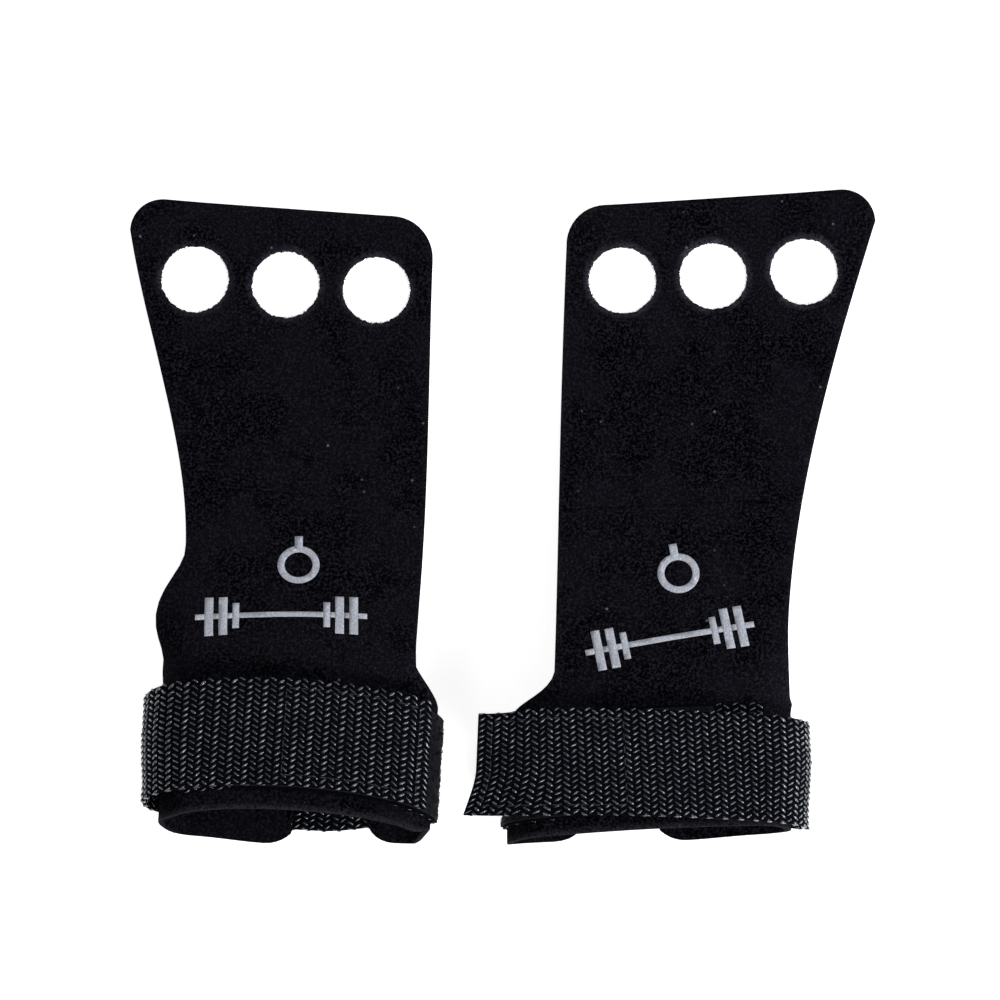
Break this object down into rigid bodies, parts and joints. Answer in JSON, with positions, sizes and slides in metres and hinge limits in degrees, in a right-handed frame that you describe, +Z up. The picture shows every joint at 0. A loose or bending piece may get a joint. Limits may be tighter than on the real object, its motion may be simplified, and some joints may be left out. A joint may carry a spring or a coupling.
{
  "type": "gymnastics hand grips",
  "caption": "Suede leather hand grips with round finger holes, a folding palm flap and woven webbing wrist straps that close with hook-and-loop tape.",
  "frame": {"origin": "middle of the pair's outline on the surface that it lies on", "axes": "+X to the right across the pair, +Y towards the finger holes, +Z up from the surface"},
  "size_m": [0.2254, 0.201, 0.03],
  "materials": {
    "suede": "black suede split leather, matt, with a fine nap",
    "webbing": "charcoal woven webbing, twill columns",
    "loop_tape": "black brushed loop pile",
    "hook_tape": "black moulded hooks on a woven tape",
    "thread": "dark bonded sewing thread",
    "ink": "silver-grey screen print, broken up by the nap"
  },
  "bodies": {
    "left_cuff": {"left_wrist_leather": "suede", "left_strap_band": "webbing", "left_loop_tape": "loop_tape", "left_anchor_stitching": "thread", "left_loop_stitching": "thread"},
    "left_palm": {"left_palm_leather": "suede", "left_printed_emblem": "ink"},
    "left_fingers": {"left_finger_leather": "suede"},
    "left_strap": {"left_strap_tail": "webbing", "left_hook_tape": "hook_tape", "left_hook_stitching": "thread"},
    "right_cuff": {"right_wrist_leather": "suede", "right_strap_band": "webbing", "right_loop_tape": "loop_tape", "right_anchor_stitching": "thread", "right_loop_stitching": "thread"},
    "right_palm": {"right_palm_leather": "suede", "right_printed_emblem": "ink"},
    "right_fingers": {"right_finger_leather": "suede"},
    "right_strap": {"right_strap_tail": "webbing", "right_hook_tape": "hook_tape", "right_hook_stitching": "thread"}
  },
  "joints": [
    {"name": "left_palm_fold", "type": "hinge", "parent": "left_cuff", "child": "left_palm", "pos_m": [-0.06092, -0.04864, 0.0235], "axis": [0.9981, -0.061, 0], "range_deg": [0, 80]},
    {"name": "left_finger_fold", "type": "hinge", "parent": "left_palm", "child": "left_fingers", "pos_m": [-0.0665, 0.05179, 0.001], "axis": [0.9981, -0.061, 0], "range_deg": [0, 85]},
    {"name": "left_strap_open", "type": "hinge", "parent": "left_cuff", "child": "left_strap", "pos_m": [-0.10845, -0.06577, 0.0168], "axis": [-0.061, -0.9981, 0], "range_deg": [0, 170]},
    {"name": "pair_spacing", "type": "slide", "parent": "left_cuff", "child": "right_cuff", "axis": [1, 0, 0], "range_m": [0, 0.06]},
    {"name": "right_palm_fold", "type": "hinge", "parent": "right_cuff", "child": "right_palm", "pos_m": [0.04537, -0.05622, 0.0235], "axis": [0.9988, 0.0489, 0], "range_deg": [0, 80]},
    {"name": "right_finger_fold", "type": "hinge", "parent": "right_palm", "child": "right_fingers", "pos_m": [0.06599, 0.05441, 0.001], "axis": [0.9988, 0.0489, 0], "range_deg": [0, 85]},
    {"name": "right_strap_open", "type": "hinge", "parent": "right_cuff", "child": "right_strap", "pos_m": [0.0927, -0.07394, 0.0168], "axis": [-0.0489, 0.9988, 0], "range_deg": [0, 170]}
  ]
}
